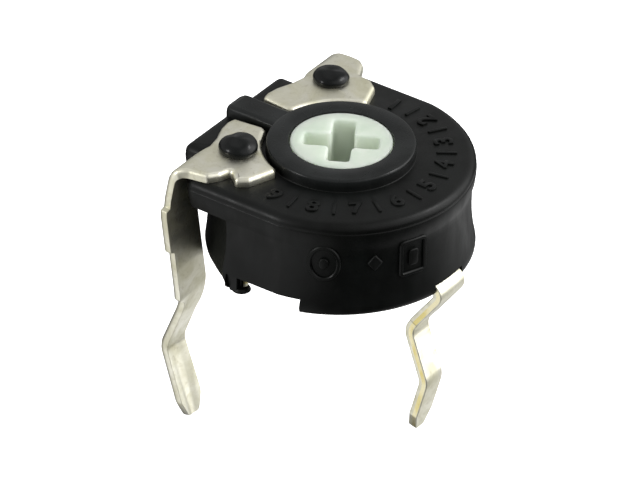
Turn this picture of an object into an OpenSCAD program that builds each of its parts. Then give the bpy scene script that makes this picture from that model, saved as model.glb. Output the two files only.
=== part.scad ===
// Single-turn carbon trimmer potentiometer, lying type, with three snap-in legs. Millimetres.
// The origin is on the rotor's axis, level with the lower edge of the housing's skirt.
// +Z points up out of the rotor's face and +Y points to the two end terminals.

/* [Housing] */
// Radius of the round moulded body
body_r = 5.15; // [5:0.05:6.5]
// Height from the skirt's lower edge to the top face
body_h = 4.1; // [3.9:0.1:6]
// How much wider the skirt is at its lower edge, all round
draft = 0.08; // [0.02:0.01:0.15]
// Thickness of the top plate
top_t = 1.2; // [1:0.05:1.4]
// Thickness of the skirt's wall
wall = 0.6; // [0.45:0.05:0.75]
// How far the flat sides are set in from the round body
side_cut = 0.05; // [0.02:0.01:0.15]
// How far back from the axis the skirt follows the flat sides
side_y = 1.74; // [1.55:0.01:2.2]
// How far the top plate's shoulders stop short of the rear face
shoulder_cut = 1.55; // [1.2:0.05:1.6]
// Gap between the rear block and each end leg, seen from behind
block_gap = 0.6; // [0.4:0.05:0.9]
// Small chamfer on the moulding's edges
edge_c = 0.2; // [0.1:0.05:0.3]
// Width of the raised collar around the rotor
collar_w = 0.86; // [0.7:0.01:0.95]
// Height of the collar above the top face
collar_h = 0.55; // [0.45:0.05:0.9]
// Width of the ridge between the end terminals
ridge_w = 1.2; // [0.8:0.1:1.3]
// Height of the ridge above the top face
ridge_h = 0.45; // [0.3:0.05:0.5]
// Height of the two notches in the skirt's sides
notch_h = 0.6; // [0.6:0.05:0.9]
// Reach of the side notches in front of the axis
notch_front = 1.62; // [1:0.01:2]
// Angle that each stop rib inside the skirt takes up
stop_angle = 12; // [8:1:14]

/* [Rotor] */
// Radius of the rotor's face
rotor_r = 1.97; // [1.85:0.01:2.4]
// Radial running gap between the rotor and the housing's bore
rotor_gap = 0.04; // [0.02:0.01:0.1]
// How much the hub under the top plate is larger in radius than the face
hub_step = 0.18; // [0.12:0.01:0.25]
// How much the flange is larger in radius than the hub
flange_step = 0.35; // [0.3:0.01:0.4]
// Thickness of the flange
flange_t = 0.6; // [0.4:0.05:0.7]
// Height of the free space between the collector plate and the flange
spring_room = 0.82; // [0.75:0.01:0.9]
// Gap between the stop lug's end and the skirt's wall
lug_gap = 1.4; // [1.35:0.01:1.45]
// Angle that the stop lug takes up
lug_angle = 36; // [24:1:40]
// How much the lower journal is smaller in radius than the face
journal_step = 0.17; // [0.1:0.01:0.25]
// Width of the cross slot's arms
slot_w = 0.88; // [0.7:0.01:1.1]
// Distance from one end of the cross slot to the other
slot_l = 2.92; // [2.4:0.02:3]
// Angle at which the rotor stands, measured from the middle of its travel
rotor_turn = 29; // [-110:1:110]
// Whole angle of the rotor's travel, from stop to stop
travel = 235; // [200:1:250]

/* [Resistive element] */
// Thickness of the laminate board
board_t = 0.5; // [0.4:0.05:0.6]
// Radial gap between the rotor's hub and the hole in the board
board_clear = 0.25; // [0.1:0.01:0.3]
// Radial gap between the board and the skirt
board_gap = 0.05; // [0.03:0.01:0.1]
// Thickness of the printed carbon and silver layers
print_t = 0.04; // [0.03:0.01:0.06]
// Distance from the board's edge to the carbon track
track_edge = 0.35; // [0.3:0.01:0.4]
// Width of the carbon track
track_w = 1.1; // [0.8:0.05:1.2]
// Angle from the rear to the near end of each silver pad
pad_start = 14; // [12:1:16]
// Angle from the rear to the end of the carbon track
track_start = 70; // [66:1:76]

/* [Sheet metal] */
// Thickness of the terminals
metal_t = 0.38; // [0.3:0.01:0.46]
// Width of the end legs above their shoulders
leg_w = 1.7; // [1.4:0.05:1.8]
// Width of all three legs below their shoulders
pin_w = 1.08; // [0.8:0.01:1.2]
// Width of the legs at the very tip
tip_w = 0.45; // [0.3:0.05:0.6]
// Length of the tapered tips
tip_l = 0.75; // [0.5:0.05:1]
// Distance from a flat side in to the middle of each end leg
leg_inset = 0.5; // [0.3:0.05:0.7]
// Length of the legs below the skirt's lower edge
leg_len = 6.95; // [5.5:0.05:9]
// How far below the skirt the shoulders of the end legs are
end_shoulder = 1.35; // [1:0.05:2]
// How far below the skirt the shoulders of the wiper leg are
foot_shoulder = 1.75; // [1:0.05:2]
// How far the cut-off carrier stub stands out of an end leg's side
stub_w = 0.22; // [0.1:0.01:0.3]
// Gap between an end leg and the top plate's shoulder
leg_gap = 0.34; // [0.2:0.02:0.5]
// Radius of the wiper leg's bend, at mid-thickness
foot_bend_r = 0.3; // [0.25:0.05:0.4]
// Width of the wiper leg above its shoulders
foot_w = 1.62; // [1.4:0.02:1.8]
// Gap between the collector plate's round edge and the skirt
collector_edge = 0.8; // [0.7:0.05:0.9]
// Height of the collector plate's underside above the skirt's lower edge
collector_z = 0.06; // [0.04:0.01:0.1]
// Radial running gap between the journal and the collector plate
collector_gap = 0.05; // [0.03:0.01:0.1]
// Gap between the collar and each end terminal's plate
collar_gap = 0.18; // [0.1:0.01:0.25]
// Gap between the ridge and each end terminal's plate
ridge_gap = 0.2; // [0.1:0.01:0.3]
// Width of the tongues that reach down to the silver pads
tongue_w = 0.9; // [0.7:0.05:1]
// Angle from the rear to each of those tongues
tongue_angle = 25; // [23:1:27]

/* [Staked posts] */
// Distance from the middle of an end leg in to the post beside it
post_inset = 1.5; // [1.4:0.05:1.6]
// Distance from the shoulder's edge forward to the top posts
post_cut = 0.65; // [0.5:0.05:0.8]
// Radius of the top posts
post_r = 0.38; // [0.3:0.01:0.46]
// Radius of the domed head on a top post
dome_r = 0.75; // [0.65:0.01:0.8]
// Height of the domed head
dome_h = 0.45; // [0.25:0.01:0.55]
// How far the staking tool pushed both heads towards +X
dome_shift = 0.35; // [-0.35:0.01:0.35]
// Distance from a flat side in to the post that holds the collector plate's ear
peg_inset = 0.44; // [0.44:0.01:0.6]
// Distance from the axis back to those posts
peg_y = 1.08; // [0.9:0.01:1.1]
// Radius of those posts
peg_r = 0.26; // [0.2:0.01:0.28]
// Radius of the head on those posts
peg_head_r = 0.4; // [0.34:0.01:0.42]
// Height of the head on those posts
peg_head_h = 0.26; // [0.18:0.01:0.3]
// Radius of the collector plate's ears
ear_r = 0.42; // [0.38:0.01:0.42]
// Gap between each post and the hole that it passes through
post_gap = 0.03; // [0.02:0.01:0.06]

/* [Wiper] */
// Thickness of the wiper spring
spring_t = 0.2; // [0.15:0.01:0.22]
// Width of the wiper's arms
arm_w = 0.9; // [0.7:0.05:1]
// Radius of the wiper's contact buttons
button_r = 0.26; // [0.2:0.01:0.28]
// Gap left at the sliding contacts
contact_gap = 0.03; // [0.02:0.01:0.05]

/* [Hidden] */
$fn = 96;
over = 1;                                    // how far a cutting shape runs past what it cuts
play = 0.02;                                 // gap between pieces that are set into each other
rear = 90;                                   // direction of the end terminals
pointer = -90 + rotor_turn;                  // direction of the wiper at rest

// Housing
side_x = body_r - side_cut;
slab_y = body_r - shoulder_cut;              // rear edge of the top plate's shoulders
cavity_r = body_r - wall;
ceiling_z = body_h - top_t;                  // underside of the top plate
bore_r = rotor_r + rotor_gap;
collar_r = bore_r + collar_w;
collar_z = body_h + collar_h;

// Board and printed layers
board_z = ceiling_z - board_t;               // underside of the board
print_z = board_z - print_t;                 // underside of the printed layers
board_r = cavity_r - board_gap;
track_r = board_r - track_edge - track_w / 2;

// Terminals
plate_z = body_h + metal_t;                  // top of the end terminals' plates
tongue_r = collar_r + collar_gap;            // inner edge of a plate and of its tongue
tongue_foot_t = 0.3;                         // thickness of a tongue's clinched foot
tongue_foot_l = 1;                           // reach of that foot over the pad
leg_x = side_x - leg_inset;
block_x = leg_x - leg_w / 2 - block_gap;     // half width of the rear block
leg_y = slab_y + leg_gap + metal_t / 2;      // mid-thickness of an end leg behind the shoulder
bend_y = leg_y - 0.9;                        // where an end plate turns into its leg
collector_top = collector_z + metal_t;
collector_r = cavity_r - collector_edge;

// Posts
post_x = leg_x - post_inset;
post_y = slab_y - post_cut;
peg_x = side_x - peg_inset;
notch_rear = peg_y + ear_r + play;

// Rotor and wiper
hub_r = rotor_r + hub_step;
hub_z = ceiling_z - rotor_gap;               // top of the hub
face_z = collar_z - play;
flange_r = hub_r + flange_step;
flange_z = collector_top + spring_room;      // underside of the flange
lug_r = cavity_r - lug_gap;
journal_r = rotor_r - journal_step;
spring_z = flange_z - spring_t;              // underside of the wiper's ring
arm_flat = 0.45;                             // flat end of a wiper arm
arm_bend_r = 0.14;                           // its bends, at mid-thickness
arm_drop = 0.25;                             // from a sliding surface to the arm's mid-thickness
button_top = print_z - contact_gap;
button_bottom = collector_top + contact_gap;
stop_slack = 0.5;                            // degrees left between lug and rib at a limit
stop_from_rear = 180 - travel / 2 - lug_angle / 2 - stop_slack;
stop_gap = 0.06;                             // from a rib to the flange's underside level
stop_r = flange_r + 0.12;                    // inner edge of a stop rib

// Bends of an end leg: [distance out from leg_y, height], and the radius of each bend
bow = [0.14, body_h - 1.6];
knee = [-0.39, -1.5];
kink = [0.4, -4.08];
end_tip_out = -0.5;
end_bends = [0.55, 2.5, 0.8, 0.3];

// Bends of the wiper leg: [distance in from the body's front, height]
foot_start = 1.3;
foot_out = 0.3;
valley = [1.53, -2.3];
foot_kink = [0.72, -4.5];
foot_tip_in = 1.36;
foot_bends = [foot_bend_r, 0.45, 0.3];

// Edges of an end plate, as offsets from the leg's outer corner and from the post
neck_edge = [[-0.3, -0.05], [-0.42, -0.33], [-0.9, -0.75]];
claw_edge = [[1.05, -0.67], [1.25, -1.2], [1.02, -1.5]];
rear_edge = [[-1.35, 1.42], [-0.6, 1.18], [-0.15, 1.1]];
stub_z = 0.9;                                // lower end of the carrier stub
stub_l = 1.8;                                // its length up the leg
ear_neck = 0.7;                              // width of the arm that carries an ear
claw_y = 1.05;                               // corner of a plate nearest to the front
arc_start = 26;                              // where the edge along the collar begins

// A list of points on an arc about c
function arc(c, r, a0, a1, n = 12) =
    [for (i = [0:n]) c + r * [cos(a0 + (a1 - a0) * i / n), sin(a0 + (a1 - a0) * i / n)]];

// Direction and left-hand normal of the line from p to q
function dir(p, q) = (q - p) / norm(q - p);
function left_of(d) = [-d[1], d[0]];

// The arc that rounds the corner at b, between a and c, to radius r
function corner(a, b, c, r, n = 8) =
    let (d0 = dir(a, b), d1 = dir(b, c),
         turn = atan2(d0[0] * d1[1] - d0[1] * d1[0], d0 * d1),
         side = turn > 0 ? 1 : -1,
         start = b - d0 * r * tan(abs(turn) / 2),
         centre = start + side * r * left_of(d0),
         a0 = atan2(start[1] - centre[1], start[0] - centre[0]))
    arc(centre, r, a0, a0 + turn, n);

// A line of straight runs, each corner i rounded to radii[i]
function rounded(path, radii) =
    concat([path[0]],
           [for (i = [1:len(path) - 2])
                each corner(path[i - 1], path[i], path[i + 1], radii[i - 1])],
           [path[len(path) - 1]]);

// The outline of a strip of thickness t bent along a line of points
function strip(line, t) =
    let (last = len(line) - 1,
         normal = [for (i = [0:last])
             let (d0 = dir(line[max(i - 1, 0)], line[max(i, 1)]),
                  d1 = dir(line[min(i, last - 1)], line[min(i + 1, last)]),
                  n = left_of(dir([0, 0], d0 + d1)))
             n / (n * left_of(d0))])
    concat([for (i = [0:last]) line[i] + normal[i] * t / 2],
           [for (i = [last:-1:0]) line[i] - normal[i] * t / 2]);

// A profile drawn in Y and Z, extruded along X to width w about x
module along_x(x, w) {
    translate([x - w / 2, 0, 0])
        rotate([90, 0, 90])
            linear_extrude(w) children();
}

// An outline drawn in X and Z, extruded through the whole depth of a leg
module through_y() {
    translate([0, body_r + 2, 0])
        rotate([90, 0, 0])
            linear_extrude(2 * body_r + 4) children();
}

// A sector of a ring, from angle a0 to a1
module sector(r0, r1, a0, a1, h) {
    rotate([0, 0, a0])
        rotate_extrude(angle = a1 - a0)
            translate([r0, 0]) square([r1 - r0, h]);
}

// The front view of a leg: wide above its shoulders, narrow below and tapered at the tip
module leg_front(x, w, shoulder_z) {
    polygon([[x - w / 2, plate_z + over], [x - w / 2, shoulder_z],
             [x - pin_w / 2, shoulder_z - 0.15], [x - pin_w / 2, tip_l - leg_len],
             [x - tip_w / 2, -leg_len], [x + tip_w / 2, -leg_len],
             [x + pin_w / 2, tip_l - leg_len], [x + pin_w / 2, shoulder_z - 0.15],
             [x + w / 2, shoulder_z], [x + w / 2, plate_z + over]]);
}

// ---- Housing ----

module top_outline() {
    polygon([[-side_x, 0], [-side_x, slab_y - edge_c], [-side_x + edge_c, slab_y],
             [-block_x, slab_y], [-block_x, body_r - edge_c], [-block_x + edge_c, body_r],
             [block_x - edge_c, body_r], [block_x, body_r - edge_c], [block_x, slab_y],
             [side_x - edge_c, slab_y], [side_x, slab_y - edge_c], [side_x, 0]]);
}

module skirt_outline() {
    polygon([[-side_x, 0], [-side_x, side_y], [side_x, side_y], [side_x, 0]]);
}

// The wedge that takes the sharp edge off the top face
module rim_chamfer() {
    rotate([0, 0, 180])
        rotate_extrude(angle = 180)
            polygon([[body_r - edge_c, body_h + play], [body_r + over, body_h + play],
                     [body_r + over, body_h - edge_c], [body_r, body_h - edge_c]]);
    for (s = [-1, 1])
        rotate([-90, 0, 0])
            linear_extrude(slab_y + over)
                polygon([[s * (side_x - edge_c), -body_h - play],
                         [s * (side_x + over), -body_h - play],
                         [s * (side_x + over), -body_h + edge_c],
                         [s * side_x, -body_h + edge_c]]);
}

// The two notches at the sides and the one that the wiper leg passes through
module skirt_notches() {
    for (s = [-1, 1])
        translate([s * body_r - (s > 0 ? 2 * wall : over), -notch_front, -over])
            cube([2 * wall + over, notch_front + notch_rear, notch_h + over]);
    translate([-foot_w / 2 - stop_gap, -body_r - over, -over])
        cube([foot_w + 2 * stop_gap, wall + 2 * over, collector_top + play + over]);
}

module dome(r, h) {
    ball_r = (r * r + h * h) / (2 * h);
    intersection() {
        translate([0, 0, h - ball_r]) sphere(r = ball_r);
        cylinder(r = r + over, h = h + over);
    }
}

module top_post(s) {
    translate([s * post_x, post_y, body_h - play]) cylinder(r = post_r, h = metal_t + 2 * play);
    translate([s * post_x + dome_shift, post_y, plate_z]) dome(dome_r, dome_h);
}

// The seat, the peg and the head that hold one ear of the collector plate
module collector_peg(s) {
    translate([s * peg_x, peg_y, collector_top]) cylinder(r = ear_r, h = ceiling_z - collector_top);
    translate([s * peg_x, peg_y, collector_z - play]) cylinder(r = peg_r, h = metal_t + 2 * play);
    translate([s * peg_x, peg_y, collector_z - peg_head_h]) cylinder(r = peg_head_r, h = peg_head_h);
}

// A rib on the skirt's inner wall, level with the rotor's lug, which stops against it
module stop_rib(s) {
    a = rear + s * (stop_from_rear - stop_angle / 2);
    translate([0, 0, flange_z + stop_gap])
        sector(stop_r, cavity_r + wall / 2, a - stop_angle / 2, a + stop_angle / 2, flange_t);
}

module tongue_slot(s) {
    rotate([0, 0, rear + s * tongue_angle])
        translate([tongue_r - play, -tongue_w / 2 - play, ceiling_z - over])
            cube([metal_t + 2 * play, tongue_w + 2 * play, top_t + 2 * over]);
}

module housing() {
    color("#1d1e1d") {
        difference() {
            union() {
                translate([0, 0, ceiling_z]) linear_extrude(top_t) top_outline();
                cylinder(r1 = body_r + draft, r2 = body_r, h = body_h);
                linear_extrude(ceiling_z + play) skirt_outline();
                cylinder(r = collar_r, h = collar_z);
                translate([-ridge_w / 2, 0, ceiling_z])
                    cube([ridge_w, body_r - edge_c / 2, top_t + ridge_h]);
            }
            translate([0, 0, -over]) cylinder(r = cavity_r, h = ceiling_z + over);
            translate([0, 0, -over]) cylinder(r = bore_r, h = collar_z + 2 * over);
            rim_chamfer();
            skirt_notches();
            for (s = [-1, 1]) tongue_slot(s);
        }
        for (s = [-1, 1]) {
            top_post(s);
            collector_peg(s);
            stop_rib(s);
        }
    }
}

// ---- Resistive element ----

module element_board() {
    color("#7a4a24")
        difference() {
            translate([0, 0, board_z]) cylinder(r = board_r, h = board_t);
            translate([0, 0, board_z - over])
                cylinder(r = hub_r + board_clear, h = board_t + 2 * over);
            for (s = [-1, 1]) {
                rotate([0, 0, rear + s * tongue_angle])
                    translate([tongue_r - play, -tongue_w / 2 - play, board_z - over])
                        cube([metal_t + 2 * play, tongue_w + 2 * play, board_t + 2 * over]);
                translate([s * peg_x, peg_y, board_z - over])
                    cylinder(r = ear_r + board_gap, h = board_t + 2 * over);
            }
        }
}

module printed_arc(a0, a1) {
    translate([0, 0, print_z])
        sector(track_r - track_w / 2, track_r + track_w / 2, a0, a1, print_t);
}

module carbon_track() {
    color("#242322") printed_arc(rear + track_start - 360, rear - track_start);
}

module end_pads() {
    color("#b9b9b2")
        difference() {
            union() {
                printed_arc(rear + pad_start, rear + track_start);
                printed_arc(rear - track_start, rear - pad_start);
            }
            for (s = [-1, 1])
                rotate([0, 0, rear + s * tongue_angle])
                    translate([tongue_r - play, -tongue_w / 2 - play, print_z - over])
                        cube([metal_t + 2 * play, tongue_w + 2 * play, print_t + 2 * over]);
        }
}

// ---- Rotor and wiper ----

module cross_slot() {
    for (a = [0, 90])
        rotate([0, 0, a])
            translate([-slot_l / 2, -slot_w / 2, -over])
                cube([slot_l, slot_w, collar_z + 2 * over]);
}

module rotor() {
    color("#e9efe6")
        rotate([0, 0, pointer])
            difference() {
                union() {
                    cylinder(r = journal_r, h = flange_z + play);
                    translate([0, 0, flange_z]) cylinder(r = flange_r, h = flange_t);
                    translate([0, 0, flange_z])
                        sector(journal_r, lug_r, -lug_angle / 2, lug_angle / 2, flange_t);
                    translate([0, 0, flange_z]) cylinder(r = hub_r, h = hub_z - flange_z);
                    translate([0, 0, flange_z])
                        cylinder(r = rotor_r, h = face_z - flange_z);
                }
                cross_slot();
            }
}

// One arm of the wiper, bent from its ring to a flat end at height z, with a contact button
module wiper_arm(r_bend, r_button, z, button_z) {
    mid = spring_z + spring_t / 2;
    r_end = r_button + button_r + play;
    line = rounded([[hub_r, mid], [r_bend, mid], [r_end - arm_flat, z], [r_end, z]],
                   [arm_bend_r, arm_bend_r]);
    translate([0, arm_w / 2, 0])
        rotate([90, 0, 0])
            linear_extrude(arm_w) polygon(strip(line, spring_t));
    translate([r_button, 0, min(z, button_z)])
        cylinder(r = button_r, h = abs(button_z - z));
}

module wiper() {
    color("#c8a45a")
        rotate([0, 0, pointer]) {
            translate([0, 0, spring_z])
                difference() {
                    cylinder(r = flange_r, h = spring_t);
                    translate([0, 0, -over]) cylinder(r = journal_r + play, h = spring_t + 2 * over);
                }
            wiper_arm(lug_r + 0.12, track_r, print_z - arm_drop, button_top);
            for (a = [110, -110])
                rotate([0, 0, a])
                    wiper_arm(flange_r - 0.1, collector_r - 0.6,
                              collector_top + arm_drop, button_bottom);
        }
}

// ---- Terminals ----

// Centre line of an end leg, from its plate over the rear shoulder down to the tip
function end_leg_line() =
    let (out = [leg_y, 0], z = body_h + metal_t / 2)
    rounded([[bend_y, z], [leg_y, z], out + bow, out + knee, out + kink,
             [leg_y + end_tip_out, -leg_len]],
            end_bends);

// Centre line of the wiper leg, from the collector plate down to the tip
function foot_line() =
    let (front = [-body_r, 0], z = collector_z + metal_t / 2)
    rounded([[foot_start - body_r, z], [-body_r - foot_out, z], front + valley,
             front + foot_kink, [foot_tip_in - body_r, -leg_len]],
            foot_bends);

// Outline of the right-hand end terminal's plate. It hugs the collar, keeps clear of the ridge,
// has a blunt claw towards the side and a notched neck that runs into the leg.
module plate_outline() {
    leg_corner = [leg_x + leg_w / 2, bend_y];
    post = [post_x, post_y];
    side = ridge_w / 2 + ridge_gap;
    rear_y = post_y + rear_edge[0][1];
    difference() {
        polygon(concat(
            [leg_corner + [0, play]],
            [for (p = neck_edge) leg_corner + p],
            [for (p = claw_edge) post + p],
            [[tongue_r + 0.15, claw_y]],
            arc([0, 0], tongue_r, arc_start, 90 - asin(side / tongue_r), 16),
            [[side + 0.15, rear_y - 0.17], [side + 0.35, rear_y]],
            [for (p = rear_edge) post + p],
            [[leg_x - leg_w / 2, rear_y - 0.26], [leg_x - leg_w / 2, bend_y + play]]));
        translate(post) circle(r = post_r + post_gap);
    }
}

// The tongue that goes down through the plate and the board, and is clinched on the pad
module contact_tongue() {
    foot_z = print_z - tongue_foot_t;
    rotate([0, 0, rear - tongue_angle])
        translate([tongue_r, -tongue_w / 2, foot_z]) {
            cube([metal_t, tongue_w, plate_z - foot_z]);
            cube([tongue_foot_l, tongue_w, tongue_foot_t]);
        }
}

// A short stub on the leg's outer edge, where it was cut from its carrier strip
module carrier_stub() {
    intersection() {
        along_x(leg_x + leg_w / 2, 2 * stub_w) polygon(strip(end_leg_line(), metal_t));
        through_y() translate([leg_x + leg_w / 2 - stub_w, stub_z]) square([2 * stub_w, stub_l]);
    }
}

module end_terminal() {
    translate([0, 0, body_h]) linear_extrude(metal_t) plate_outline();
    contact_tongue();
    intersection() {
        along_x(leg_x, leg_w) polygon(strip(end_leg_line(), metal_t));
        through_y() leg_front(leg_x, leg_w, -end_shoulder);
    }
    carrier_stub();
}

module end_terminal_left() {
    color("#c9c4ae") mirror([1, 0, 0]) end_terminal();
}

module end_terminal_right() {
    color("#c9c4ae") end_terminal();
}

module collector_terminal() {
    color("#c9b06a") {
        translate([0, 0, collector_z])
            linear_extrude(metal_t)
                difference() {
                    union() {
                        circle(r = collector_r);
                        for (s = [-1, 1]) {
                            translate([s * peg_x, peg_y]) circle(r = ear_r);
                            translate([s > 0 ? peg_x - 1.2 : -peg_x, peg_y - ear_neck / 2])
                                square([1.2, ear_neck]);
                        }
                        translate([-foot_w / 2, -body_r + foot_start - play])
                            square([foot_w, body_r - foot_start - journal_r - wall]);
                    }
                    circle(r = journal_r + collector_gap);
                    for (s = [-1, 1])
                        translate([s * peg_x, peg_y]) circle(r = peg_r + post_gap);
                }
        intersection() {
            along_x(0, foot_w) polygon(strip(foot_line(), metal_t));
            through_y() leg_front(0, foot_w, -foot_shoulder);
        }
    }
}

housing();
element_board();
carbon_track();
end_pads();
rotor();
wiper();
end_terminal_left();
end_terminal_right();
collector_terminal();
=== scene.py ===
import math

import bmesh
import bpy
from mathutils import Matrix, Vector, noise


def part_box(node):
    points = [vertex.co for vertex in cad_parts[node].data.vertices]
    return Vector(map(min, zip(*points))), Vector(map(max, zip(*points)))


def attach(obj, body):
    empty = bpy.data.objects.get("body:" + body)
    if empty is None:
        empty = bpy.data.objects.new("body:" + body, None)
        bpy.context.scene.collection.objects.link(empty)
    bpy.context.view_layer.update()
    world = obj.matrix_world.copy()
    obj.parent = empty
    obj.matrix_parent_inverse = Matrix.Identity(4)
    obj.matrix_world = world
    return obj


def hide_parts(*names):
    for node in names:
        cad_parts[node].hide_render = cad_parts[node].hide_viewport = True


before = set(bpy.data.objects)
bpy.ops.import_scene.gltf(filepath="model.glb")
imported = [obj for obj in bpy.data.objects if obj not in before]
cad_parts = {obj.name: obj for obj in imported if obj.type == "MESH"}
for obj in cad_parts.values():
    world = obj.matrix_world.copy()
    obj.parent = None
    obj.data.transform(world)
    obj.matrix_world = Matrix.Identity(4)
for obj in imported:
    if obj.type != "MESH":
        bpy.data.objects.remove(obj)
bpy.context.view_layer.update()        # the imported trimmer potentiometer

mm = 0.001               # every size below is in millimetres, and becomes metres in newPiece


# Sizes that the fixed frame gives, in millimetres

def boxMm(node):
    low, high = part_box(node)
    return low / mm, high / mm


bodyHigh = boxMm("housing")[1]
rotorHigh = boxMm("rotor")[1]
endLow, endHigh = boxMm("end_terminal_right")

metalT = 0.38                        # sheet metal of the terminals
draft = 0.08                         # how far the frame's skirt spreads at its lower edge
bodyR = bodyHigh.x - draft           # the round moulded body
topZ = endHigh.z - metalT            # its top face
faceZ = rotorHigh.z                  # the rotor's face
collarZ = faceZ + 0.02
tipZ = endLow.z                      # the tips of the three legs
rotorTurn = -61                      # where the rotor's lug points at rest, in degrees


def onCircle(radius, angle, centre=(0, 0)):
    a = math.radians(angle)
    return Vector((centre[0] + radius * math.cos(a), centre[1] + radius * math.sin(a)))


def arcPoints(radius, start, end, steps, centre=(0, 0)):
    return [onCircle(radius, start + (end - start) * i / steps, centre) for i in range(steps + 1)]


def filletCorner(before, corner, after, radius, steps=5):
    # the points that round one corner of an outline
    back, ahead = (before - corner), (after - corner)
    half = back.angle(ahead) / 2
    if radius <= 0 or half > math.radians(88):
        return [corner]
    reach = min(radius / math.tan(half), 0.49 * back.length, 0.49 * ahead.length)
    radius = reach * math.tan(half)
    middle = corner + (back.normalized() + ahead.normalized()).normalized() * radius / math.sin(half)
    first = corner + back.normalized() * reach - middle
    last = corner + ahead.normalized() * reach - middle
    sweep = first.angle_signed(last)
    points = []
    for i in range(steps + 1):
        turn = -sweep * i / steps
        points.append(middle + Matrix.Rotation(turn, 2) @ first)
    return points


def roundedLoop(corners):
    # a closed outline from (x, y, radius) corners, anticlockwise
    spots = [Vector(c[:2]) for c in corners]
    loop = []
    for i, c in enumerate(corners):
        radius = c[2] if len(c) > 2 else 0
        loop += filletCorner(spots[i - 1], spots[i], spots[(i + 1) % len(spots)], radius)
    return loop


def crossing(a, wayA, b, wayB):
    # where two lines in the plane meet
    turn = wayA.x * wayB.y - wayA.y * wayB.x
    gap = b - a
    return a + wayA * (gap.x * wayB.y - gap.y * wayB.x) / turn if abs(turn) > 1e-9 else (a + b) / 2


def offsetLoop(loop, distance):
    # the same outline moved outwards; a corner that would turn inside out becomes a point
    moved = []
    for i, point in enumerate(loop):
        before = (point - loop[i - 1]).normalized()
        after = (loop[(i + 1) % len(loop)] - point).normalized()
        side = before + after
        normal = Vector((side.y, -side.x)).normalized()
        along = max(0.6, normal.dot(Vector((after.y, -after.x))))
        moved.append(point + normal * distance / along)
    count = len(loop)
    ways = [loop[(i + 1) % count] - loop[i] for i in range(count)]
    kept = [(moved[(i + 1) % count] - moved[i]).dot(ways[i]) > 0 for i in range(count)]
    for i in range(count):
        if kept[i - 1] and not kept[i]:
            last = i
            while not kept[(last + 1) % count]:
                last += 1
            after = (last + 1) % count
            corner = crossing(moved[i], ways[i - 1], moved[after], ways[after])
            for k in range(i, last + 2):
                moved[k % count] = corner
    return moved


def reachAt(loop, angle):
    # how far an outline is from the axis in one direction
    ray = onCircle(1, angle)
    best = 0
    for i, b in enumerate(loop):
        a = loop[i - 1]
        edge = b - a
        cross = ray.x * edge.y - ray.y * edge.x
        if abs(cross) < 1e-12:
            continue
        far = (a.x * edge.y - a.y * edge.x) / cross
        share = (a.x * ray.y - a.y * ray.x) / cross
        if -1e-6 <= share <= 1 + 1e-6 and far > best:
            best = far
    return best


def sharedAngles(loops, finest=0.35, widest=3.0):
    # directions that suit all of the outlines, so that their points pair up
    wanted = sorted({round(math.degrees(math.atan2(p.y, p.x)) % 360, 4) for l in loops for p in l})
    angles = [wanted[0]]
    for a in wanted[1:] + [wanted[0] + 360]:
        gap = a - angles[-1]
        if gap < finest:
            continue
        parts = math.ceil(gap / widest)
        angles += [angles[-1] + gap / parts * (i + 1) for i in range(parts)]
    return angles[:-1] if angles[-1] - angles[0] > 359.7 else angles


def polarLoop(loop, angles):
    return [onCircle(reachAt(loop, a), a) for a in angles]


def ringAt(loop, z, grow=0.0):
    return [Vector((p.x, p.y, z)) for p in (offsetLoop(loop, grow) if grow else loop)]


def loftMesh(rings, closed=False, bands=None):
    # a skin over rings of equal length: closed runs from the last ring back to the first;
    # bands gives the number of the finish between each ring and the next
    bands = bands or [0] * len(rings)
    bm = bmesh.new()
    made = [[bm.verts.new(p) for p in ring] for ring in rings]
    count = len(rings[0])
    last = len(made) if closed else len(made) - 1
    for i in range(last):
        low, high = made[i], made[(i + 1) % len(made)]
        for k in range(count):
            n = (k + 1) % count
            face = bm.faces.new((low[k], low[n], high[n], high[k]))
            face.material_index = bands[i]
    if not closed:
        for ring in (made[0][::-1], made[-1]):
            bm.faces.new(ring)
    bmesh.ops.recalc_face_normals(bm, faces=bm.faces)
    return bm


def lathe(profile, centre=(0, 0), steps=32):
    # rings about an upright axis, from (radius, height) pairs
    turns = [360 * k / steps for k in range(steps)]
    return loftMesh([[Vector((*onCircle(radius, a, centre), z)) for a in turns] for radius, z in profile])


def plateSolid(loop, low, high, edge, steps=3, under=None, torn=(0, 0)):
    # a flat plate with rounded edges; torn is the part of its thickness that broke when it was cut
    under = edge if under is None else under
    rings, bands = [], None
    for i in range(steps + 1):
        a = math.pi / 2 * i / steps
        rings.append(ringAt(loop, low + under * (1 - math.cos(a)), -under * (1 - math.sin(a))))
    for i in range(steps + 1):
        a = math.pi / 2 * i / steps
        rings.append(ringAt(loop, high - edge * (1 - math.sin(a)), -edge * (1 - math.cos(a))))
    if torn[1] > torn[0]:
        rings[steps + 1:steps + 1] = [ringAt(loop, low + (high - low) * share) for share in torn]
        bands = [0] * (steps + 1) + [1] + [0] * (steps + 2)
    return loftMesh(rings, bands=bands)


def meshObject(name, bm, materials=()):
    data = bpy.data.meshes.new(name)
    for m in materials:
        data.materials.append(m)
    bm.to_mesh(data)
    bm.free()
    piece = bpy.data.objects.new(name, data)
    bpy.context.scene.collection.objects.link(piece)
    return piece


def merged(name, parts):
    # several closed meshes as one object
    whole = bmesh.new()
    for bm in parts:
        data = bpy.data.meshes.new("part")
        bm.to_mesh(data)
        bm.free()
        whole.from_mesh(data)
        bpy.data.meshes.remove(data)
    return meshObject(name, whole)


def applyModifiers(piece):
    bpy.context.view_layer.update()
    graph = bpy.context.evaluated_depsgraph_get()
    data = bpy.data.meshes.new_from_object(piece.evaluated_get(graph), depsgraph=graph)
    piece.modifiers.clear()
    piece.data = data
    return piece


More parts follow.
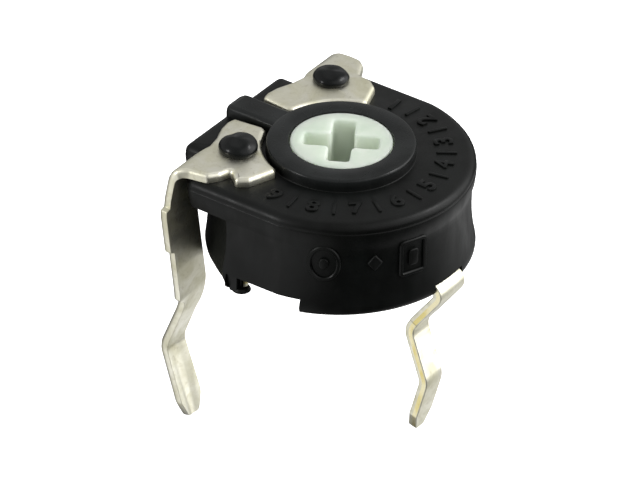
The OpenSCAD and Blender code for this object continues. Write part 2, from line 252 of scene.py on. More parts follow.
def carve(piece, tool, how):
    # joins a tool to a piece, or cuts it away, and throws the tool away
    step = piece.modifiers.new("carve", "BOOLEAN")
    step.operation = how
    step.solver = "MANIFOLD"
    step.object = tool
    applyModifiers(piece)
    bpy.data.objects.remove(tool)
    return piece


def tidyMesh(piece):
    # no double points, no slivers, and everything facing outwards
    bm = bmesh.new()
    bm.from_mesh(piece.data)
    bmesh.ops.remove_doubles(bm, verts=bm.verts, dist=0.0004)
    bmesh.ops.dissolve_degenerate(bm, edges=bm.edges, dist=0.0004)
    bmesh.ops.recalc_face_normals(bm, faces=bm.faces)
    bm.to_mesh(piece.data)
    bm.free()


def newPiece(piece, body, materials, slotName, *nodes, sharp=38):
    # from millimetres to metres, shaded, dressed, and hung on its CAD body
    piece.data.transform(Matrix.Scale(mm, 4))
    parts = [face.material_index for face in piece.data.polygons]
    piece.data.materials.clear()
    for m in materials:
        piece.data.materials.append(m)
    for face, part in zip(piece.data.polygons, parts):
        face.material_index = min(part, len(materials) - 1)
    piece.data.shade_smooth()
    piece.data.set_sharp_from_angle(angle=math.radians(sharp))
    flat = piece.modifiers.new("flat faces stay flat", "WEIGHTED_NORMAL")
    flat.keep_sharp = True
    flat.weight = 60
    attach(piece, body)
    if nodes:
        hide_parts(*nodes)
    return piece


def linear(red, green, blue):
    # an on-screen colour, 0 to 255, as the shader wants it
    def one(c):
        c /= 255
        return c / 12.92 if c <= 0.04045 else ((c + 0.055) / 1.055) ** 2.4
    return (one(red), one(green), one(blue), 1)


class Finish:
    # a material and the few node moves that all the finishes here are made of
    def __init__(self, name, **fixed):
        self.material = bpy.data.materials.new(name)
        self.material.use_nodes = True
        self.tree = self.material.node_tree
        self.shader = self.tree.nodes["Principled BSDF"]
        self.place = self.tree.nodes.new("ShaderNodeTexCoord").outputs["Object"]
        for socket, value in fixed.items():
            self.shader.inputs[socket.replace("_", " ")].default_value = value

    def join(self, a, b):
        self.tree.links.new(a, b)

    def grain(self, size, detail=3, rough=0.55, stretch=None, twist=0.0):
        # noise whose features are about size millimetres across
        node = self.tree.nodes.new("ShaderNodeTexNoise")
        node.inputs["Scale"].default_value = 1 / (size * mm)
        node.inputs["Detail"].default_value = detail
        node.inputs["Roughness"].default_value = rough
        node.inputs["Distortion"].default_value = twist
        if stretch:
            turn = self.tree.nodes.new("ShaderNodeMapping")
            turn.inputs["Scale"].default_value = stretch
            self.join(self.place, turn.inputs["Vector"])
            self.join(turn.outputs["Vector"], node.inputs["Vector"])
        else:
            self.join(self.place, node.inputs["Vector"])
        return node.outputs["Fac"]

    def between(self, source, low, high, start=0.35, end=0.65):
        # a number that goes from low to high as the source goes from start to end
        node = self.tree.nodes.new("ShaderNodeMapRange")
        node.inputs["From Min"].default_value = start
        node.inputs["From Max"].default_value = end
        node.inputs["To Min"].default_value = low
        node.inputs["To Max"].default_value = high
        self.join(source, node.inputs["Value"])
        return node.outputs["Result"]

    def times(self, a, b):
        node = self.tree.nodes.new("ShaderNodeMath")
        node.operation = "MULTIPLY"
        self.join(a, node.inputs[0])
        self.join(b, node.inputs[1])
        return node.outputs[0]

    def mixed(self, amount, low, high):
        node = self.tree.nodes.new("ShaderNodeMix")
        for socket, source in zip(node.inputs[:1] + node.inputs[2:4], (amount, low, high)):
            self.join(source, socket)
        return node.outputs[0]

    def heightRamp(self, start, end):
        # 0 below the start and 1 above the end, in millimetres up from the object's origin
        split = self.tree.nodes.new("ShaderNodeSeparateXYZ")
        self.join(self.place, split.inputs[0])
        return self.between(split.outputs["Z"], 0, 1, start * mm, end * mm)

    def blend(self, amount, first, second):
        # from the first colour to the second; either may come from another blend
        node = self.tree.nodes.new("ShaderNodeMix")
        node.data_type = "RGBA"
        self.join(amount, node.inputs["Factor"])
        for socket, colour in ((node.inputs[6], first), (node.inputs[7], second)):
            if isinstance(colour, tuple):
                socket.default_value = colour
            else:
                self.join(colour, socket)
        return node.outputs[2]

    def bump(self, *layers):
        # (height source, depth in millimetres) pairs, one on top of another
        normal = None
        for height, depth in layers:
            node = self.tree.nodes.new("ShaderNodeBump")
            node.inputs["Strength"].default_value = 1
            node.inputs["Distance"].default_value = depth * mm
            self.join(height, node.inputs["Height"])
            if normal:
                self.join(normal, node.inputs["Normal"])
            normal = node.outputs["Normal"]
        self.join(normal, self.shader.inputs["Normal"])

    def use(self, socket, source):
        self.join(source, self.shader.inputs[socket])


blackPlastic = dict(
    dark=(6, 7, 6),                  # the plastic's two tones
    pale=(15, 17, 16),
    dust=(44, 46, 43),
    paintedSheen=(38, 40, 40),             # painted sheen: a lighter colour on the collar, the ridge and everything else high up
    paintedSheenFrom=4.3,
    rough=(0.34, 0.46),
    polished=(0.2, 0.32),
    gloss=0.18,
    grain=0.0016,                    # depths, in millimetres
    sink=0.006)

# what is different where the staking tool has pressed; its painted sheen is kept dark
stakedPlastic = dict(paintedSheen=(16, 18, 18), rough=(0.2, 0.3), polished=(0.2, 0.3), sink=0.014)


def mouldedBlack(name, look):
    f = Finish(name, IOR=1.5, Specular_IOR_Level=look["gloss"])
    cloud = f.grain(1.6, 4)
    fine = f.grain(0.05, 2)
    flow = f.grain(0.7, 3, stretch=(1, 1, 0.35), twist=0.6)
    tone = f.blend(f.between(cloud, 0, 1), linear(*look["dark"]), linear(*look["pale"]))
    dust = f.between(f.grain(0.11, 5, 0.7), 0, 0.5, 0.66, 0.8)
    tone = f.blend(dust, tone, linear(*look["dust"]))
    # painted sheen: everything high up on the part is blended towards a lighter colour
    height = f.heightRamp(look["paintedSheenFrom"], look["paintedSheenFrom"] + 0.25)
    f.use("Base Color", f.blend(f.times(height, f.between(cloud, 0.35, 0.8)), tone, linear(*look["paintedSheen"])))
    f.use("Roughness", f.mixed(height, f.between(flow, *look["rough"]), f.between(flow, *look["polished"])))
    f.bump((cloud, look["sink"]), (fine, look["grain"]))
    return f.material


tinnedBrass = dict(bright=(246, 244, 230), dull=(214, 211, 186), stain=(168, 160, 128),
                   rough=(0.34, 0.5), wave=0.005, scratch=0.0012)


def tinnedSheet(name, look=tinnedBrass):
    f = Finish(name, Metallic=1.0)
    cloud = f.grain(1.1, 4, 0.6, twist=0.8)
    spots = f.grain(0.28, 4, 0.65)
    lines = f.grain(0.10, 2, 0.5, stretch=(0.12, 1, 1))
    tin = f.blend(f.between(cloud, 0, 1, 0.3, 0.7), linear(*look["bright"]), linear(*look["dull"]))
    f.use("Base Color", f.blend(f.between(spots, 0, 0.4, 0.56, 0.74), tin, linear(*look["stain"])))
    f.use("Roughness", f.between(cloud, *look["rough"]))
    f.bump((cloud, look["wave"]), (lines, look["scratch"]))
    return f.material


cutBrass = dict(gold=(228, 214, 146), smear=(242, 234, 196), rough=(0.26, 0.42), tear=0.004)


def shearedEdge(name="cut_brass", look=cutBrass):
    f = Finish(name, Metallic=1.0)
    smear = f.grain(0.6, 3, stretch=(1, 1, 0.5))
    tear = f.grain(0.05, 3, 0.6, stretch=(1, 1, 4))
    smeared = f.between(smear, 0, 1, 0.42, 0.6)
    f.use("Base Color", f.blend(smeared, linear(*look["gold"]), linear(*look["smear"])))
    f.use("Roughness", f.between(tear, *look["rough"]))
    f.bump((tear, look["tear"]))
    return f.material


whitePlastic = dict(
    white=(212, 221, 208),
    shade=(200, 213, 197),
    speck=(150, 152, 140),
    wall=(222, 230, 216),            # down in the slot: painted light, a lighter colour standing in for light reaching the slot walls
    deep=(1.0, 1.0, 0.95),           # how light of each colour travels through it
    reach=0.8,
    rough=(0.34, 0.46))


def rotorWhite(name="rotor_white", look=whitePlastic):
    f = Finish(name, IOR=1.5, Specular_IOR_Level=0.4, Subsurface_Weight=1.0,
               Subsurface_Radius=look["deep"], Subsurface_Scale=look["reach"] * mm)
    cloud = f.grain(0.9, 3)
    fine = f.grain(0.04, 2)
    speck = f.between(f.grain(0.09, 4, 0.7), 0, 0.35, 0.68, 0.8)
    tone = f.blend(f.between(cloud, 0, 1), linear(*look["white"]), linear(*look["shade"]))
    tone = f.blend(speck, tone, linear(*look["speck"]))
    # painted light: the slot walls below the face get a lighter colour
    f.use("Base Color", f.blend(f.heightRamp(faceZ - 0.02, faceZ - 0.5), tone, linear(*look["wall"])))
    f.use("Roughness", f.between(cloud, *look["rough"]))
    f.bump((cloud, 0.004), (fine, 0.0008))
    return f.material


def laminateBrown(name="laminate"):
    f = Finish(name, IOR=1.5)
    weave = f.grain(0.35, 4, 0.6, stretch=(1, 1, 0.3))
    f.use("Base Color", f.blend(f.between(weave, 0, 1), linear(120, 74, 36), linear(146, 96, 52)))
    f.use("Roughness", f.between(weave, 0.42, 0.6))
    f.bump((weave, 0.003))
    return f.material


def carbonInk(name="carbon"):
    f = Finish(name, IOR=1.5, Specular_IOR_Level=0.4)
    ink = f.grain(0.07, 5, 0.7)
    f.use("Base Color", f.blend(f.between(ink, 0, 1), linear(26, 26, 25), linear(44, 43, 42)))
    f.use("Roughness", f.between(ink, 0.38, 0.62))
    f.bump((ink, 0.003))
    return f.material


def silverInk(name="silver_print"):
    f = Finish(name, Metallic=0.9)
    ink = f.grain(0.08, 5, 0.7)
    f.use("Base Color", f.blend(f.between(ink, 0, 1), linear(176, 176, 168), linear(206, 205, 196)))
    f.use("Roughness", f.between(ink, 0.35, 0.55))
    f.bump((ink, 0.003))
    return f.material


def springBrass(name="spring_brass"):
    f = Finish(name, Metallic=1.0)
    rolled = f.grain(0.08, 3, stretch=(0.1, 1, 1))
    cloud = f.grain(0.8, 3)
    f.use("Base Color", f.blend(f.between(cloud, 0, 1), linear(206, 176, 104), linear(188, 152, 84)))
    f.use("Roughness", f.between(rolled, 0.22, 0.36))
    f.bump((rolled, 0.0012))
    return f.material


print("making the finishes")
plateFinish = tinnedSheet("tinned_sheet")
metalFinishes = [plateFinish, shearedEdge()]
rotorFinish = rotorWhite()


housing = dict(
    sideX=bodyR - 0.05,              # flat sides
    skirtSideY=1.86,                 # how far back the skirt follows them
    shoulderY=3.60,                  # rear edge of the top plate's shoulders
    blockX=3.15,                     # half width of the block between the end legs
    plateZ=2.9,                      # underside of the top plate
    cavityR=4.55,
    boreR=2.01,
    collarR=2.87,
    collarRound=0.11,
    collarFall=0.03,                 # its face falls a little outwards
    baseRound=0.03,                  # soft hollow at the foot of the collar
    rim=0.36,                        # rounded edge of the top plate
    ridge=dict(half=0.62, top=4.6, round=0.2, rearRound=0.36),
    flare=0.15,                      # how much wider the skirt's foot is at the sides
    notchTop=0.6,
    notchFrom=4.3,                   # the notches at the sides, out from the axis
    notchFront=-1.62,
    notchRear=1.66,
    exitHalf=0.87,                   # the gap where the middle leg comes out
    exitFrom=-4.4,
    exitTop=0.46,
)

# The outer wall from its foot up to the rim: height, and how far it stands out of the body's radius
wallShape = [(0.0, -0.13), (0.05, -0.05), (0.13, -0.005), (0.26, 0.02), (0.45, 0.0), (0.7, -0.03),
             (1.1, -0.06), (1.6, -0.09), (2.1, -0.105), (2.6, -0.1), (2.86, -0.085)]
plateShape = [(2.9, -0.075), (3.02, -0.05), (3.2, 0.005), (3.45, 0.035), (3.62, 0.045), (3.66, 0.04),
              (3.69, 0.022)]


def topOutline(h):
    x, y, b = h["sideX"], h["shoulderY"], h["blockX"]
    front = math.degrees(math.acos(x / bodyR))
    corners = [(*onCircle(bodyR, a),) for a in [i * 3 for i in range(-56, -3)]]
    start = (*onCircle(bodyR, -180 + front),)
    end = (*onCircle(bodyR, -front),)
    c = 0.3
    rear = [(x, y, c), (b, y, 0.12), (b, bodyR, c), (-b, bodyR, c), (-b, y, 0.12), (-x, y, c)]
    return roundedLoop([start] + [c for c in corners if abs(c[0]) < x - 0.01] + [end] + rear)


def skirtOutline(h):
    # round, with flat sides that end in a corner behind the side notches
    x, y = h["sideX"], h["skirtSideY"]
    loop = []
    for a in range(0, 360, 3):
        p = onCircle(bodyR, a)
        if abs(p.x) < x - 0.005 and not (0 < p.y < y and abs(p.x) > 4.7):
            loop.append((p.x, p.y))
    corner = [(x, y, 0.05), (4.85, y + 0.02)]
    loop += corner + [(-c[0], *c[1:]) for c in corner] + [(x, -0.7), (-x, -0.7)]
    loop.sort(key=lambda c: math.atan2(c[1], c[0]))
    return roundedLoop(loop)


def flareAt(angle, z, h):
    # the skirt's foot spreads most at its left and right
    lean = (1 - math.cos(2 * math.radians(angle + 112))) / 2
    rear = max(0.0, math.sin(math.radians(angle)) - 0.3)
    fall = max(0, 1 - z / 1.6) ** 1.5
    return h["flare"] * lean * fall * max(0.0, 1 - 4 * rear)


def bodyMesh(h):
    topLoop, skirtLoop = topOutline(h), skirtOutline(h)
    angles = sharedAngles([topLoop, skirtLoop])
    top = polarLoop(topLoop, angles)
    skirt = polarLoop(skirtLoop, angles)
    circle = [onCircle(1, a) for a in angles]

    def circleAt(radius, z):
        return [Vector((p.x * radius, p.y * radius, z)) for p in circle]

    rings = []
    for z, out in wallShape:
        ring = ringAt(skirt, z, out)
        for k, a in enumerate(angles):
            a = a if a < 180 else a - 360
            ring[k].xy *= 1 + flareAt(a, z, h) / bodyR
        rings.append(ring)
    rings += [ringAt(top, z, out) for z, out in plateShape]
    rim, steps = h["rim"], 6
    for i in range(steps + 1):
        a = math.pi / 2 * i / steps
        rings.append(ringAt(top, topZ - rim * (1 - math.sin(a)), 0.035 - rim * (1 - math.cos(a))))
    r, base, edge, bore = h["collarR"], h["baseRound"], h["collarRound"], h["boreR"]
    for i in range(5):
        a = math.pi / 2 * i / 4
        rings.append(circleAt(r + base * (1 - math.sin(a)), topZ + base * (1 - math.cos(a))))
    shoulderZ = collarZ - h["collarFall"]
    for i in range(4):
        a = math.pi / 2 * i / 3
        rings.append(circleAt(r - edge * (1 - math.cos(a)), shoulderZ - edge * (1 - math.sin(a))))
    rings += [circleAt(bore + out, collarZ - down) for out, down in ((0.07, 0), (0.02, 0.02), (0, 0.07))]
    rings += [circleAt(bore, h["plateZ"]), circleAt(h["cavityR"], h["plateZ"]), circleAt(h["cavityR"], 0.06),
              circleAt(h["cavityR"] + 0.05, 0.0)]
    return loftMesh(rings, closed=True)


def ridgeMesh(h):
    # a bar from the collar to the rear edge, with its rear end rounded both ways
    g = h["ridge"]
    rings = []
    end, radius = bodyR - 0.01, g["rearRound"]
    stations = [2.5, end - radius]
    stations += [end - radius * (1 - math.sin(math.radians(a))) for a in (20, 40, 58, 74, 86)]
    for y in stations:
        past = max(0.0, y - (end - radius))
        shrink = radius - math.sqrt(max(0.0, radius ** 2 - past ** 2))
        w, top, c = g["half"] - shrink, g["top"] - shrink * 0.9, g["round"]
        ring = [Vector((-w, y, 3.3))]
        for a in (0, 30, 60, 90):
            way = onCircle(1, a)
            ring.append(Vector((-w + c * (1 - way.x), y, top - c * (1 - way.y))))
        ring += [Vector((-p.x, y, p.z)) for p in ring[:0:-1]] + [Vector((w, y, 3.3))]
        rings.append(ring)
    return loftMesh(rings)


posts = dict(x=endHigh.x - 0.22 - 0.85 - 1.5,   # in from the leg beside it
             y=2.95, stem=0.38,
             heads=dict(                        # each was squashed a little differently
                 right=dict(side=1, push=(0.40, 0.0), radius=0.71, height=0.46, seed=1.3),
                 left=dict(side=-1, push=(0.39, -0.07), radius=0.76, height=0.54, seed=7.9)),
             uneven=0.05, dent=0.08,            # how far from round, and from smooth
             pegX=4.75, pegY=1.2, peg=0.12, pegHead=0.37, pegFrom=0.06, pegTo=0.44,
             headHole=0.41, pegHole=0.22)       # in the plates


def headSpot(head):
    return (head["side"] * posts["x"] + head["push"][0], posts["y"] + head["push"][1])


def domeMesh(head):
    # a head squashed over by the staking tool: steep skirt, flatter crown, never quite round
    p = posts
    low, radius, high = endHigh.z, head["radius"], head["height"]
    spot = headSpot(head)
    turns = [9 * k for k in range(40)]
    rings = [[Vector((*onCircle(p["stem"], a, spot), z)) for a in turns] for z in (topZ - 0.03, low + 0.02)]
    crown = [(0.93, -0.01), (0.99, 0.12), (1.0, 0.28), (0.97, 0.44), (0.9, 0.6), (0.8, 0.73), (0.66, 0.85),
             (0.5, 0.93), (0.3, 0.98), (0.1, 1.0)]
    for i, (share, up) in enumerate(crown):
        ring = []
        for a in turns:
            way = onCircle(1.3, a)
            reach = radius * share * (1 + p["uneven"] * noise.noise(Vector((*way, head["seed"]))))
            q = onCircle(reach, a, spot)
            dent = noise.noise(Vector((q.x * 2.2, q.y * 2.2, head["seed"] + 3))) if i > 1 else 0
            ring.append(Vector((q.x, q.y, low + high * up + p["dent"] * dent)))
        rings.append(ring)
    return loftMesh(rings)


def pegMesh(side):
    # seat, peg and flared head of the small post through an ear of the collector plate
    p = posts
    c = (side * p["pegX"], p["pegY"])
    low, high = p["pegFrom"], p["pegTo"]
    flared = [(p["pegHead"] * part, low - down)
              for part, down in ((0.93, 0.2), (1.0, 0.18), (0.97, 0.13), (0.8, 0.04))]
    return lathe(flared + [(p["peg"], low - 0.01), (p["peg"], high), (0.2, high + 0.001), (0.2, 3.2)], c)


# The wall's slanted foot between a notch's rear end and the peg's head: (y, z) outlines
wallFoot = dict(inner=4.62, outer=5.08, cutFrom=4.88,
                web=[(1.2, 0.66), (1.88, 0.66), (1.5, -0.1), (1.2, -0.1)],
                cut=[(1.0, -1), (3.0, -1), (3.0, 0.6), (1.84, 0.6), (1.47, -0.12), (1.0, -0.12)])


def footWeb(side):
    ends = (side * wallFoot["inner"], side * wallFoot["outer"])
    return loftMesh([[Vector((x, y, z)) for y, z in wallFoot["web"]] for x in ends])


def footCut(side):
    # takes off the corner of the flat side below that foot
    ends = (side * wallFoot["cutFrom"], side * 6.5)
    return loftMesh([[Vector((x, y, z)) for y, z in wallFoot["cut"]] for x in ends])


# The rotor's travel, half of its lug, the gap left at a stop and half of a rib are in degrees
stops = dict(travel=235, lugHalf=18, gap=1.0, half=6, inner=2.62, outer=4.7, low=1.32, high=1.92)


def stopRib(side):
    # a rib that the rotor's lug stops against
    t = stops
    half = t["half"]
    middle = 90 + side * (180 - t["travel"] / 2 - t["lugHalf"] - t["gap"] - half)
    loop = arcPoints(t["outer"], middle - half, middle + half, 6)
    loop += arcPoints(t["inner"], middle + half, middle - half, 4)
    return loftMesh([ringAt(loop, t["low"]), ringAt(loop, t["high"])])


# The marks on the skirt: heights, then the direction of each
relief = dict(rise=0.09, edge=0.05, low=1.5, high=3.1, inner=4.9, line=0.17,
              ring=-152, diamond=-130, frame=-112)


def wrapOnWall(bm, angle, radius):
    # a flat shape drawn in x and y, stood up and wrapped round the skirt
    for v in bm.verts:
        a = math.radians(angle) + v.co.x / bodyR
        reach = radius + v.co.z
        v.co = Vector((reach * math.cos(a), reach * math.sin(a), v.co.y))


def sideRelief(r):
    # plain marks on the skirt: a ring round a dot, then a diamond, then a frame round a pad
    parts = []
    inner = r["inner"]
    rise = bodyR - 0.095 + r["rise"] - inner
    middle = (r["low"] + r["high"]) / 2

    def pad(angle, loop):
        bm = plateSolid(loop, 0, rise, r["edge"])
        wrapOnWall(bm, angle, inner)
        parts.append(bm)

    def band(angle, outside):
        rings = []
        width, c = r["line"], 0.04
        profile = [(-width, 0), (-width, rise - c), (c - width, rise), (-c, rise), (0, rise - c), (0, 0)]
        for grow, z in profile:
            rings.append([Vector((p.x, p.y, z)) for p in offsetLoop(outside, grow)])
        bm = loftMesh(rings, closed=True)
        wrapOnWall(bm, angle, inner)
        parts.append(bm)

    def oval(reach):
        return [Vector((reach * math.cos(t), middle + 1.2 * reach * math.sin(t)))
                for t in [2 * math.pi * k / 36 for k in range(36)]]

    def panel(half, low, high, c):
        return roundedLoop([(-half, low, c), (half, low, c), (half, high, c), (-half, high, c)])

    tall, half, c = 0.36, 0.3, 0.05
    diamond = [(0, middle - tall, c), (half, middle, c), (0, middle + tall, c), (-half, middle, c)]
    band(r["ring"], oval(0.66))
    pad(r["ring"], oval(0.2))
    pad(r["diamond"], roundedLoop(diamond))
    band(r["frame"], panel(0.62, r["low"] - 0.1, r["high"] - 0.1, 0.2))
    pad(r["frame"], panel(0.2, middle - 0.45, middle + 0.25, 0.1))
    return parts


dial = dict(travel=stops["travel"], steps=10, radius=4.02, size=1.02, rise=0.065,
            depth=0.1, bevel=0.018, tick=(3.62, 4.42), tickW=0.13)


def dialMarks(d):
    # numbers 1 to 9 over the rotor's travel, with a tick between each two
    parts = []
    step = d["travel"] / d["steps"]
    for n in range(1, 10):
        angle = -90 - step * (n - 5)
        text = bpy.data.curves.new("number", "FONT")
        text.body = str(n)
        text.size = d["size"]
        text.align_x = "CENTER"
        text.align_y = "CENTER"
        text.extrude = d["depth"]
        text.bevel_depth = d["bevel"]
        text.bevel_resolution = 1
        text.offset = 0.012
        text.resolution_u = 5
        holder = bpy.data.objects.new("number", text)
        bpy.context.scene.collection.objects.link(holder)
        bpy.context.view_layer.update()
        graph = bpy.context.evaluated_depsgraph_get()
        data = bpy.data.meshes.new_from_object(holder.evaluated_get(graph))
        bm = bmesh.new()
        bm.from_mesh(data)
        bmesh.ops.remove_doubles(bm, verts=bm.verts, dist=0.0008)
        bmesh.ops.recalc_face_normals(bm, faces=bm.faces)
        turn = Matrix.Rotation(math.radians(angle + 90), 4, "Z")
        move = Matrix.Translation((0, -d["radius"], topZ + d["rise"] - d["depth"] - d["bevel"]))
        bm.transform(turn @ move)
        parts.append(bm)
        bpy.data.objects.remove(holder)
        bpy.data.meshes.remove(data)
        if n < 9:
            a = angle - step / 2
            inner, outer = d["tick"]
            w = d["tickW"] / 2
            loop = roundedLoop([(inner, -w, 0.05), (outer, -w, 0.05), (outer, w, 0.05), (inner, w, 0.05)])
            mark = plateSolid(loop, topZ - 0.1, topZ + d["rise"], 0.025, 2)
            mark.transform(Matrix.Rotation(math.radians(a), 4, "Z"))
            parts.append(mark)
    return parts


def blockTool(x0, x1, y0, y1, z0, z1, r=0.03):
    loop = roundedLoop([(x0, y0, r), (x1, y0, r), (x1, y1, r), (x0, y1, r)])
    return loftMesh([ringAt(loop, z0), ringAt(loop, z1)])


# The tongue that each end plate sends down through the top, and the slot for it
tongue = dict(turn=25, inner=3.06, half=0.44, low=2.06, slot=(3.03, 3.45), slotHalf=0.47)


def tongueSlot(side):
    half = tongue["slotHalf"]
    bm = blockTool(*tongue["slot"], -half, half, 2.0, 4.6, 0)
    bm.transform(Matrix.Rotation(math.radians(90 + side * tongue["turn"]), 4, "Z"))
    return bm


print("moulding the housing")
h = housing
body = meshObject("housing_moulding", bodyMesh(h))
carve(body, meshObject("ridge", ridgeMesh(h)), "UNION")
carve(body, merged("marks", dialMarks(dial)), "UNION")
carve(body, merged("relief", sideRelief(relief)), "UNION")
carve(body, merged("cuts", [
    blockTool(-bodyR - 1, -h["notchFrom"], h["notchFront"], h["notchRear"], -1, h["notchTop"]),
    blockTool(h["notchFrom"], bodyR + 1, h["notchFront"], h["notchRear"], -1, h["notchTop"]),
    blockTool(-h["exitHalf"], h["exitHalf"], -bodyR - 1, h["exitFrom"], -1, h["exitTop"]),
    tongueSlot(1), tongueSlot(-1), footCut(1), footCut(-1)]), "DIFFERENCE")
onBothSides = [make(side) for make in (pegMesh, footWeb, stopRib) for side in (1, -1)]
carve(body, merged("posts", onBothSides), "UNION")
tidyMesh(body)
print("housing faces:", len(body.data.polygons))
newPiece(body, "root", [mouldedBlack("housing_black", blackPlastic)], "housing_black", "housing", sharp=34)
heads = merged("staked_heads", [domeMesh(head) for head in posts["heads"].values()])
newPiece(heads, "root", [mouldedBlack("staked_black", blackPlastic | stakedPlastic)], "housing_black")


def filletLine(points, radii):
    # an open line with its corners rounded
    spots = [Vector(p) for p in points]
    line = [spots[0]]
    for i, radius in enumerate(radii, 1):
        line += filletCorner(spots[i - 1], spots[i], spots[i + 1], radius, 6)
    return line + [spots[-1]]


class Bend:
    # a line in the side view that a flat strip follows
    def __init__(self, points, radii):
        self.line = filletLine(points, radii)
        self.lengths = [0.0]
        for a, b in zip(self.line, self.line[1:]):
            self.lengths.append(self.lengths[-1] + (b - a).length)
        self.sides = []
        last = len(self.line) - 1
        for i in range(last + 1):
            before = (self.line[max(i, 1)] - self.line[max(i, 1) - 1]).normalized()
            after = (self.line[min(i + 1, last)] - self.line[min(i, last - 1)]).normalized()
            side = Vector((-(before + after).y, (before + after).x)).normalized()
            self.sides.append(side / side.dot(Vector((-before.y, before.x))))

    def at(self, s, out):
        i = 0
        while i < len(self.line) - 2 and s > self.lengths[i + 1]:
            i += 1
        t = (s - self.lengths[i]) / (self.lengths[i + 1] - self.lengths[i])
        return self.line[i].lerp(self.line[i + 1], t) + self.sides[i].lerp(self.sides[i + 1], t) * out

    def lengthAt(self, z):
        # how far along the line the height z is reached last, coming down
        for i in range(len(self.line) - 1, 0, -1):
            a, b = self.line[i - 1], self.line[i]
            if a.y >= z >= b.y:
                return self.lengths[i - 1] + (a.y - z) / (a.y - b.y) * (self.lengths[i] - self.lengths[i - 1])
        return 0.0


def addCuts(bm, axis, values, beyond=None):
    # extra edge loops, so that the strip can bend there
    normal = Vector((0, 0, 0))
    normal[axis] = 1
    for value in values:
        point = Vector((0, 0, 0))
        point[axis] = value
        geometry = bm.verts[:] + bm.edges[:] + bm.faces[:]
        if beyond is not None:
            faces = [f for f in bm.faces if f.calc_center_median().y > beyond]
            geometry = list({v for f in faces for v in f.verts})
            geometry += list({e for f in faces for e in f.edges}) + faces
        bmesh.ops.bisect_plane(bm, geom=geometry, plane_co=point, plane_no=normal, dist=1e-5)


def smoothStep(x, low, high):
    t = min(1.0, max(0.0, (x - low) / (high - low)))
    return t * t * (3 - 2 * t)


leg = dict(x=endHigh.x - 0.22 - 0.85, wide=1.7, pin=1.08, tip=0.52, tipLong=0.7, shoulder=-1.35,
           stub=(0.9, 2.7), stubOut=0.22, edge=0.18, under=0.015,
           groove=0.09, spread=0.18, twistFrom=2.9, bendY=3.23, kneeZ=-3.9)

# the side view of an end leg: (y, z) of its bends, then the radius of each
endLine = Bend([(leg["bendY"], topZ + metalT / 2), (4.13, topZ + metalT / 2), (4.27, 2.5), (3.68, -1.5),
                (4.62, leg["kneeZ"]), (3.63, tipZ)], [0.55, 2.5, 2.2, 0.9])

# The two end plates were cut a little differently: corners (distance from the middle, y, radius)
plates = dict(
    left=dict(side=-1, claw=[(3.05, 0.93, 0.08), (4.15, 1.33, 0.18), (4.46, 1.75, 0.14), (3.97, 2.28, 0.12)],
              neck=[(4.5, 2.46, 0.2), (4.88, 2.76, 0.2), (4.95, 3.12, 0.4), (5.02, 3.52, 0.5)], waist=5.22),
    right=dict(side=1, claw=[(3.05, 0.95, 0.08), (4.15, 1.33, 0.18), (4.46, 1.73, 0.14), (4.52, 2.26, 0.12)],
               neck=[(5.22, 2.62, 0.16), (5.45, 2.94, 0.16), (5.47, 3.34, 0.5)], waist=5.42),
)
rearEdge = [(3.1, 3.98, 0.3), (2.47, 4.1, 0.3), (1.8, 4.35, 0.2), (1.3, 4.42, 0.15), (0.94, 4.34, 0.16)]


def patternOf(plate):
    # the blank of an end terminal before its leg is bent: y runs on down the leg
    g = leg
    drop = g["bendY"]

    def down(z):
        return drop + endLine.lengthAt(z)

    x, w, p, t = g["x"], g["wide"] / 2, g["pin"] / 2, g["tip"] / 2
    end = drop + endLine.lengths[-1]
    foot = g["shoulder"]
    outer = plate["claw"] + plate["neck"] + [(plate["waist"], 3.95, 0.4), (x + w, down(3.1), 0.4),
        (x + w, down(g["stub"][1] + 0.06), 0.03), (x + w + g["stubOut"], down(g["stub"][1]), 0.05),
        (x + w + g["stubOut"], down(g["stub"][0]), 0.08), (x + w, down(g["stub"][0] - 0.1), 0.05),
        (x + w, down(foot + 0.05), 0.12), (x + p, down(foot - 0.12), 0.1), (x + p, end - g["tipLong"], 0.6),
        (x + t, end, 0.24)]
    wider = x - p - g["spread"]
    inner = [(x - t - 0.1, end, 0.24), (wider, end - g["tipLong"], 0.6), (x - p, down(foot - 0.9), 1.2),
             (x - w, down(foot + 0.4), 1.2), (x - w, 4.5, 0.3), (x - w - 0.03, 4.22, 0.12)]
    hug = [(*q,) for q in arcPoints(3.05, 73, 20, 14)]
    return roundedLoop(outer + inner + rearEdge + [(0.79, 3.1, 0.12)] + hug)


